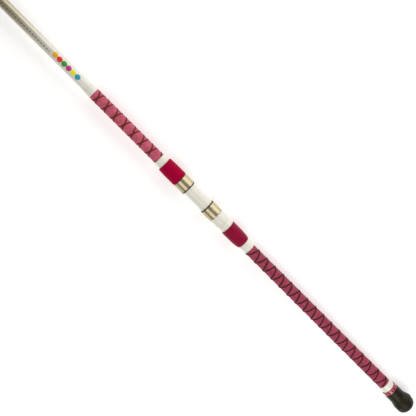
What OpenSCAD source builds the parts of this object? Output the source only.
// Butt section of a two-piece surf-casting fishing rod with a screw-lock pipe reel seat.
// The rod lies along X with +X towards the tip, and the origin is on the rod's axis,
// midway between the mouths of the two reel-foot hoods. The foot pockets face -Z.

/* [Blank] */
// Distance from the seat's centre to the mouth of the ferrule socket
tip_reach = 610; // [560:1:700]
// Outside diameter of the blank at the ferrule socket
blank_tip_d = 20.7; // [20:0.1:21.4]
// Outside diameter of the blank where its taper steepens ahead of the grip
blank_knee_d = 21.4; // [21:0.1:22]
// Distance from the seat's centre to that change of taper
knee_reach = 360; // [330:1:420]
// Outside diameter of the blank at the front of the fore grip
blank_grip_d = 22; // [21.8:0.1:22.4]
// Outside diameter of the blank at its butt end
blank_butt_d = 24.4; // [24:0.1:24.8]
// Wall of the blank at the butt end
blank_wall = 1.8; // [1.4:0.1:2.4]
// Diameter of the ferrule socket
socket_d = 17.8; // [16.8:0.1:18]
// Depth of the ferrule socket
socket_depth = 80; // [60:1:110]

/* [Fore grip] */
// Length of the fore pad
fore_pad_len = 42.5; // [36:0.5:60]
// Diameter of the fore pad beside the hood
fore_pad_d = 33.7; // [32:0.1:36]
// Length of the ring ahead of the fore pad
fore_collar_len = 15; // [8:0.5:20]
// Diameter of the ring ahead of the fore pad
fore_collar_d = 26.1; // [25.4:0.1:28]
// Length of the corded fore grip
fore_grip_len = 179; // [120:1:240]
// Length of the winding check that ends the fore grip
check_len = 16; // [8:0.5:20]

/* [Reel seat] */
// Clear distance between the mouths of the two hoods
mouth_gap = 50.6; // [44:0.2:60]
// Outside diameter of the seat's barrel
barrel_d = 28.3; // [28:0.1:28.4]
// Bore of the seat's barrel
barrel_bore_d = 24; // [23.9:0.1:24.4]
// Length of the fixed hood
fixed_hood_len = 25.2; // [24:0.2:30]
// Length of the sliding hood
sliding_hood_len = 26.7; // [26:0.1:32]
// Outside diameter of both hoods
hood_d = 32.4; // [32:0.1:34]
// Length of the dark lip at each hood's mouth
lip_len = 2.6; // [1.5:0.1:4]
// Length of the lock nut
nut_len = 20; // [16:0.5:26]
// Free barrel behind the lock nut
barrel_tail = 1.2; // [1:0.1:4]
// Length of the ring behind the seat
seat_collar_len = 13.1; // [8:0.1:18]
// Diameter of the ring behind the seat
seat_collar_d = 28.7; // [28.6:0.1:30]
// Pitch of the barrel's thread
thread_pitch = 3; // [2:0.25:3]
// How far the hood moves forward from rest
travel_forward = 12; // [6:0.5:12]

/* [Rear grip] */
// Length of the rear pad
rear_pad_len = 45.4; // [36:0.2:60]
// Diameter of the rear pad beside the seat
rear_pad_d = 33; // [32:0.1:35]
// Length of the ring behind the rear pad
rear_collar_len = 17.8; // [10:0.2:22]
// Diameter of the ring behind the rear pad
rear_collar_d = 25; // [24.8:0.1:26]
// Length of the corded rear grip
rear_grip_len = 408; // [300:1:450]
// Diameter of the rear grip at its front
rear_grip_front_d = 24.3; // [24.2:0.1:25]
// Diameter of the rear grip at its butt end
rear_grip_butt_d = 26; // [25.8:0.1:27]
// Length of the ring ahead of the butt cap
butt_collar_len = 14.5; // [8:0.5:20]
// Diameter of the ring ahead of the butt cap
butt_collar_d = 27.9; // [27.4:0.1:29]

/* [Cord] */
// Advance of each strand in one turn round the grip
cord_pitch = 24; // [20:1:30]
// Width of a strand along the rod
cord_w = 2; // [1.2:0.1:2.6]
// Thickness of a strand
cord_t = 0.45; // [0.3:0.05:0.7]

/* [Butt cap] */
// Length of the butt cap
cap_len = 65; // [60:0.5:80]
// Diameter of the cap's knob
knob_d = 43; // [41:0.1:45]
// Distance from the axis to the flat on the knob's side
knob_flat = 19.7; // [19:0.1:22]
// Width of the coloured band at the cap's mouth
band_w = 7; // [5:0.5:10]
// Number of diamonds round the band
diamond_count = 14; // [10:1:16]

/* [Hidden] */
$fn = 96;
glue = 0.05;              // film of adhesive between pieces that are bonded
run = 0.05;               // radial clearance of the moving pieces on the barrel
step_deg = 15;            // turn of a strand from one ring of points to the next

// Stations along X, from the seat outwards
mouth_x = mouth_gap / 2;
hood_x = mouth_x + fixed_hood_len;
washer_t = 1;
fore_pad_x = hood_x + washer_t;
fore_collar_x = fore_pad_x + fore_pad_len;
fore_grip_x = fore_collar_x + fore_collar_len;
check_x = fore_grip_x + fore_grip_len;
blank_front_x = check_x + check_len;

nut_x = -mouth_x - sliding_hood_len;
nut_rear_x = nut_x - nut_len;
barrel_rear_x = nut_rear_x - barrel_tail;
rear_pad_x = barrel_rear_x - seat_collar_len;
rear_collar_x = rear_pad_x - rear_pad_len;
rear_grip_x = rear_collar_x - rear_collar_len;
butt_collar_x = rear_grip_x - rear_grip_len;
cap_x = butt_collar_x - butt_collar_len;
butt_x = cap_x - cap_len;
blank_butt_x = butt_x + 11;
socket_x = tip_reach - socket_depth;

// Radii
barrel_r = barrel_d / 2;
hood_r = hood_d / 2;
liner_t = 0.9;
liner_r = barrel_r + glue + liner_t;
shell_in_r = liner_r + glue;

// Foot pocket: a cylinder tilted so that it is deepest at the hood's mouth
pocket_r = 12.5;
pocket_drop = 8.9;
pocket_tilt = 10;
pocket_depth = 15;
pocket_floor = 1.5;
shell_wall = 1;

// Sliding keys and their grooves
key_w = 2.8;
key_x = [4, 22];
key_root = barrel_r - 0.8;
groove_w = 3;
groove_root = barrel_r - 0.9;

// Thread at the barrel's rear, hidden by the nut when the seat is fully open
thread_depth = 0.7;
thread_front_x = nut_x + travel_forward + 2;
thread_rear_x = barrel_rear_x + 1;

// Snap flange that holds the nut to the sliding hood
spigot_len = 3;
spigot_r = shell_in_r - 0.1;
flange_r = spigot_r + 0.45;
flange_len = 1;
snap_gap = 0.2;

// ---- helpers ----

function mix(a, b, s) = a + (b - a) * s;
function reversed(list) = [for (i = [len(list) - 1:-1:0]) list[i]];
// Points [x, r] of a circular arc in the turning plane
function arc(cx, cr, radius, from, to, steps) =
    [for (i = [0:steps]) let (a = mix(from, to, i / steps)) [cx + radius * cos(a), cr + radius * sin(a)]];

// Outside radius of the blank at a station
function blank_r(x) =
    x > knee_reach ? mix(blank_knee_d, blank_tip_d, (x - knee_reach) / (tip_reach - knee_reach)) / 2
    : x > blank_front_x ? mix(blank_grip_d, blank_knee_d, (x - blank_front_x) / (knee_reach - blank_front_x)) / 2
    : mix(blank_butt_d, blank_grip_d, (x - blank_butt_x) / (blank_front_x - blank_butt_x)) / 2;
function on_blank_r(x) = blank_r(x) + glue;
function fore_sleeve_r(x) = mix(12.05, 11.8, (x - fore_grip_x) / fore_grip_len);
function rear_sleeve_r(x) = mix(rear_grip_butt_d, rear_grip_front_d, (x - butt_collar_x) / rear_grip_len) / 2;

// A solid of revolution about X between an outer and an inner outline of [x, r] points
module turned(outer, inner) {
    rotate([0, 90, 0]) rotate_extrude() polygon([for (p = concat(outer, reversed(inner))) [p[1], p[0]]]);
}

// A ring fitted on the blank, with both outer edges bevelled
module ring_on_blank(x0, x1, r0, r1, bevel = 0.5) {
    turned([[x0, r0 - bevel], [x0 + bevel, r0], [x1 - bevel, r1], [x1, r1 - bevel]],
           [[x0, on_blank_r(x0)], [x1, on_blank_r(x1)]]);
}

module tube(x0, x1, r_in, r_out) {
    turned([[x0, r_out], [x1, r_out]], [[x0, r_in], [x1, r_in]]);
}

// One strand wound round a grip: hand is 1 or -1, and lifted strands step over the other at each crossing
module strand(x0, x1, cross_x, cross_deg, hand, sleeve_slope, sleeve_base, lifted) {
    advance = cord_pitch * step_deg / 360;
    steps = floor((x1 - x0 - cord_w) / advance);
    first = ceil((x0 + cord_w / 2 - cross_x) / advance);
    bow = 1 / cos(step_deg / 2);
    over = lifted ? cord_t + 0.05 : 0;
    rings = [for (i = [0:steps - 1]) let (
        n = first + i,
        x = cross_x + n * advance,
        a = cross_deg + hand * n * step_deg,
        off = abs((n * step_deg + 90) - 180 * floor((n * step_deg + 90) / 180) - 90),
        lift = over * (off <= step_deg ? 1 : 0),
        r0 = (sleeve_base + sleeve_slope * x) * bow + 0.02 + lift,
        r1 = r0 + cord_t
    ) for (c = [[cord_w / 2, r0], [-cord_w / 2, r0], [-cord_w / 2, r1], [cord_w / 2, r1]])
        [x + c[0], c[1] * cos(a), c[1] * sin(a)]];
    sides = [for (i = [0:steps - 2], k = [0:3]) let (p = 4 * i + k, q = 4 * i + (k + 1) % 4)
        [p, q, q + 4, p + 4]];
    ends = [[3, 2, 1, 0], [for (k = [0:3]) 4 * (steps - 1) + k]];
    faces = concat(sides, ends);
    polyhedron(rings, hand > 0 ? faces : [for (f = faces) reversed(f)]);
}

// ---- blank and ferrule ----

module blank() color("ivory") {
    taper_x = socket_x - 3;
    turned([for (x = [blank_butt_x, blank_front_x, knee_reach, tip_reach]) [x, blank_r(x)]],
           [[blank_butt_x, blank_butt_d / 2 - blank_wall], [blank_front_x, blank_grip_d / 2 - blank_wall + 0.3],
            [taper_x, socket_d / 2 - 0.4], [socket_x, socket_d / 2], [tip_reach, socket_d / 2]]);
}

ferrule_ring_len = 5;
winding_len = 46;
winding_t = 0.45;

// Thread whipping that keeps the socket from splitting
module ferrule_winding() color("maroon") {
    x1 = tip_reach - ferrule_ring_len;
    x0 = x1 - winding_len;
    turned([[x0, on_blank_r(x0) + 0.1], [x0 + 3, on_blank_r(x0) + winding_t],
            [x1 - 1, on_blank_r(x1) + winding_t], [x1, on_blank_r(x1) + winding_t - 0.1]],
           [[x0, on_blank_r(x0)], [x1, on_blank_r(x1)]]);
}

// Metal ring round the socket's mouth
module ferrule_ring() color("tan") {
    x0 = tip_reach - ferrule_ring_len;
    turned([[x0, blank_r(x0) + 0.7], [x0 + 0.4, blank_r(x0) + 1], [tip_reach - 0.4, blank_r(x0) + 1],
            [tip_reach, blank_r(x0) + 0.7]],
           [[x0, on_blank_r(x0)], [tip_reach, on_blank_r(x0)]]);
}

// ---- fore grip ----

module winding_check() color("ivory") {
    ring_on_blank(check_x, blank_front_x, 11.95, 11.35, 0.2);
}

module fore_grip_sleeve() color("crimson") {
    turned([[fore_grip_x, fore_sleeve_r(fore_grip_x)], [check_x, fore_sleeve_r(check_x)]],
           [[fore_grip_x, on_blank_r(fore_grip_x)], [check_x, on_blank_r(check_x)]]);
}

fore_cross_x = 276;
fore_cross_deg = 78;
fore_slope = (fore_sleeve_r(1) - fore_sleeve_r(0));

module fore_cord(hand, lifted) color("saddlebrown") {
    strand(fore_grip_x + 0.5, check_x - 0.5, fore_cross_x, fore_cross_deg, hand,
           fore_slope, fore_sleeve_r(0), lifted);
}

module fore_cord_right() fore_cord(1, false);
module fore_cord_left() fore_cord(-1, true);

module fore_collar() color("ivory") {
    ring_on_blank(fore_collar_x, fore_grip_x, fore_collar_d / 2, fore_collar_d / 2);
}

module fore_grip_pad() color("firebrick") {
    nose = 2.5;
    front_r = fore_pad_d / 2 - 0.7;
    turned(concat([[fore_pad_x, fore_pad_d / 2 - 0.4], [fore_pad_x + 0.4, fore_pad_d / 2],
                   [mix(fore_pad_x, fore_collar_x, 0.58), fore_pad_d / 2]],
                  arc(fore_collar_x - nose, front_r - nose, nose, 90, 0, 6)),
           [[fore_pad_x, on_blank_r(fore_pad_x)], [fore_collar_x, on_blank_r(fore_collar_x)]]);
}

// ---- reel seat ----

module hood_washer() color("black") {
    ring_on_blank(hood_x, fore_pad_x, 15.6, 15.6, 0.2);
}

// Cylinder along the foot pocket's tilted axis, with its start well ahead of the mouth
module pocket_rod(r, depth) {
    lead = 8;
    translate([0, 0, -pocket_drop]) rotate([0, 90 - pocket_tilt, 0]) translate([0, 0, -lead])
        cylinder(r = r, h = depth + lead);
}

// The shell of a hood with its mouth at X = 0 and its closed end at X = length
module hood_shell(length) {
    bulge_r = pocket_r + liner_t + glue + shell_wall;
    cone_x = length - 9;
    difference() {
        union() {
            turned([[lip_len, hood_r], [length - 0.6, hood_r], [length, hood_r - 0.6]], [[lip_len, 0], [length, 0]]);
            intersection() {
                pocket_rod(bulge_r, 40);
                turned([[lip_len, 26], [cone_x - 4, 26], [length - 0.6, hood_r]], [[lip_len, 0], [length - 0.6, 0]]);
            }
        }
        tube(-1, length + 1, 0, barrel_r + glue);
        tube(-1, length - 2, 0, shell_in_r);
        pocket_rod(pocket_r + liner_t + glue, pocket_depth + pocket_floor + glue);
    }
}

// Cushion inside a hood, with the rolled lip that shows at its mouth
module hood_liner(length) {
    difference() {
        union() {
            tube(0, length, 0, liner_r);
            intersection() {
                pocket_rod(pocket_r + liner_t, pocket_depth + pocket_floor);
                tube(0, length, 0, 40);
            }
            lip_rim(hood_r, 0);
        }
        tube(-1, length + 1, 0, barrel_r + run);
        pocket_rod(pocket_r, pocket_depth);
    }
}

// The lip follows the hood's outline and stands slightly proud of it
module lip_rim(ring_r, x0) {
    proud = 0.2;
    turned([[x0, ring_r + proud - 0.5], [x0 + 0.5, ring_r + proud], [x0 + lip_len - 0.5, ring_r + proud],
            [x0 + lip_len - 0.05, ring_r]], [[x0, 0], [x0 + lip_len - 0.05, 0]]);
    intersection() {
        pocket_rod(pocket_r + liner_t + shell_wall + 0.25, 20);
        tube(x0, x0 + lip_len - 0.05, 0, 40);
    }
}

module fixed_hood() color("wheat") {
    translate([mouth_x, 0, 0]) hood_shell(fixed_hood_len);
}

module fixed_hood_liner() color("dimgray") {
    translate([mouth_x, 0, 0]) hood_liner(fixed_hood_len - 2.1);
}

module seat_barrel() color("ivory") {
    ridges = floor((thread_front_x - thread_rear_x) / thread_pitch);
    outer = concat(
        [[barrel_rear_x, barrel_r - thread_depth]],
        [for (i = [0:ridges - 1]) let (x = thread_rear_x + i * thread_pitch)
            for (p = [[0, 0], [0.7, 1], [1.7, 1], [2.4, 0]])
                [x + p[0] * thread_pitch / 3, barrel_r - thread_depth * (1 - p[1])]],
        [[thread_front_x, barrel_r - thread_depth], [thread_front_x + thread_depth, barrel_r],
         [hood_x, barrel_r]]);
    difference() {
        turned(outer, [[barrel_rear_x, barrel_bore_d / 2], [hood_x, barrel_bore_d / 2]]);
        groove_front_x = travel_forward - mouth_x - key_x[0] + 1;
        for (side = [0, 180]) rotate([side, 0, 0])
            translate([barrel_rear_x - 1, groove_root, -groove_w / 2])
                cube([groove_front_x - barrel_rear_x + 1, 3, groove_w]);
    }
}

// Bushing that centres the barrel on the blank
module seat_arbor(x0, x1) color("darkkhaki") {
    turned([[x0, barrel_bore_d / 2 - glue], [x1, barrel_bore_d / 2 - glue]],
           [[x0, on_blank_r(x0)], [x1, on_blank_r(x1)]]);
}

module seat_arbor_front() seat_arbor(hood_x - 18, hood_x - 1);
module seat_arbor_middle() seat_arbor(-18, 2);
module seat_arbor_rear() seat_arbor(barrel_rear_x + 1, barrel_rear_x + 19);

module sliding_hood() color("wheat") {
    groove_x = sliding_hood_len - spigot_len - snap_gap;
    translate([-mouth_x, 0, 0]) mirror([1, 0, 0]) difference() {
        hood_shell(sliding_hood_len);
        tube(groove_x, sliding_hood_len + 1, 0, shell_in_r);
        tube(groove_x, groove_x + flange_len + 2 * snap_gap, 0, flange_r + 0.1);
    }
}

module sliding_hood_liner() color("dimgray") {
    translate([-mouth_x, 0, 0]) mirror([1, 0, 0]) {
        hood_liner(sliding_hood_len - spigot_len - 2 * snap_gap);
        for (side = [0, 180]) rotate([side, 0, 0])
            translate([key_x[0], key_root, -key_w / 2])
                cube([key_x[1] - key_x[0], barrel_r + run + 0.5 - key_root, key_w]);
    }
}

module lock_nut() color("ivory") {
    nut_r = hood_r - 0.05;
    front_x = nut_x - snap_gap;
    // The rear edge is a quarter ellipse, longer than it is high
    rear_round = [for (a = [0:15:90]) [nut_rear_x + 3.5 * (1 - cos(a)), nut_r - 1.4 * (1 - sin(a))]];
    turned(concat(rear_round,
                  [[front_x - 0.4, nut_r], [front_x, nut_r - 0.4], [front_x, spigot_r],
                   [nut_x + spigot_len - flange_len, spigot_r], [nut_x + spigot_len - flange_len, flange_r],
                   [nut_x + spigot_len - 0.3, flange_r], [nut_x + spigot_len, spigot_r]]),
           [[nut_rear_x, barrel_r + run + 0.3], [nut_rear_x + 0.3, barrel_r + run], [nut_x + spigot_len, barrel_r + run]]);
}

// Ring behind the seat, which is also the lock nut's rear stop
module seat_collar() color("ivory") {
    ring_on_blank(rear_pad_x, barrel_rear_x, seat_collar_d / 2, seat_collar_d / 2, 0.4);
}

// ---- rear grip ----

module rear_grip_pad() color("firebrick") {
    tail_r = 12.6;
    tail_len = 31.7;
    crown = rear_pad_d / 2;
    shape = 2.4;
    tail = [for (i = [0:12]) let (s = sin(i * 90 / 12)) [rear_collar_x + tail_len * (1 - s),
            tail_r + (crown - tail_r) * pow(1 - pow(s, shape), 1 / shape)]];
    turned(concat(reversed(tail), [[rear_pad_x - 0.5, crown], [rear_pad_x, crown - 0.5]]),
           [[rear_collar_x, on_blank_r(rear_collar_x)], [rear_pad_x, on_blank_r(rear_pad_x)]]);
}

module rear_collar() color("ivory") {
    ring_on_blank(rear_grip_x, rear_collar_x, rear_collar_d / 2, rear_collar_d / 2, 0.4);
}

module rear_grip_sleeve() color("crimson") {
    turned([[butt_collar_x, rear_sleeve_r(butt_collar_x)], [rear_grip_x, rear_sleeve_r(rear_grip_x)]],
           [[butt_collar_x, on_blank_r(butt_collar_x)], [rear_grip_x, on_blank_r(rear_grip_x)]]);
}

rear_cross_x = -165;
rear_cross_deg = 180;
rear_slope = (rear_sleeve_r(1) - rear_sleeve_r(0));

module rear_cord(hand, lifted) color("saddlebrown") {
    strand(butt_collar_x + 0.5, rear_grip_x - 0.5, rear_cross_x, rear_cross_deg, hand,
           rear_slope, rear_sleeve_r(0), lifted);
}

module rear_cord_right() rear_cord(1, false);
module rear_cord_left() rear_cord(-1, true);

module butt_collar() color("ivory") {
    ring_on_blank(cap_x, butt_collar_x, butt_collar_d / 2, butt_collar_d / 2);
}

// ---- butt cap ----

cap_mouth_r = 16.05;
cap_neck_r = 16.6;
band_t = 0.7;
dome_r = 16.5;
flare_r = 26;
flare_deg = 18;

module butt_cap() color([0.12, 0.12, 0.11]) {
    knob_r = knob_d / 2;
    shoulder = 9;
    difference() {
        turned(concat([[butt_x, 0]],
                      arc(butt_x + dome_r, knob_r - 17.3, dome_r, 180, 95, 12),
                      arc(butt_x + 21.5, knob_r - shoulder, shoulder, 115, 90 - flare_deg, 6),
                      arc(butt_x + 41.4, cap_neck_r + flare_r, flare_r, 270 - flare_deg, 270, 5),
                      [[cap_x - band_w - 0.5, cap_neck_r - 0.15], [cap_x - band_w, cap_mouth_r + 0.2],
                       [cap_x - band_w, cap_mouth_r - band_t - glue],
                       [cap_x, cap_mouth_r - band_t - glue]]),
               [[butt_x, 0], [blank_butt_x - glue, 0], [blank_butt_x - glue, on_blank_r(blank_butt_x)],
                [cap_x, on_blank_r(cap_x)]]);
        translate([butt_x - 1, knob_flat, -knob_r]) cube([40, 10, 2 * knob_r]);
    }
}

module butt_cap_band() color("indianred") {
    side = 3.1;
    difference() {
        tube(cap_x - band_w + glue, cap_x, cap_mouth_r - band_t, cap_mouth_r);
        for (i = [0:diamond_count - 1]) rotate([i * 360 / diamond_count, 0, 0])
            translate([cap_x - band_w / 2, 0, cap_mouth_r]) rotate([0, 0, 45])
                cube([side, side, 6], center = true);
    }
}

// Plug bonded into the blank's butt end
module butt_plug() color("gray") {
    plug_len = 20;
    turned([[blank_butt_x, blank_butt_d / 2 - blank_wall - 0.2], [blank_butt_x + plug_len, blank_butt_d / 2 - blank_wall - 0.2]],
           [[blank_butt_x, 0], [blank_butt_x + plug_len, 0]]);
}

blank();
ferrule_winding();
ferrule_ring();
winding_check();
fore_grip_sleeve();
fore_cord_right();
fore_cord_left();
fore_collar();
fore_grip_pad();
hood_washer();
fixed_hood();
fixed_hood_liner();
seat_barrel();
seat_arbor_front();
seat_arbor_middle();
seat_arbor_rear();
sliding_hood();
sliding_hood_liner();
lock_nut();
seat_collar();
rear_grip_pad();
rear_collar();
rear_grip_sleeve();
rear_cord_right();
rear_cord_left();
butt_collar();
butt_cap();
butt_cap_band();
butt_plug();
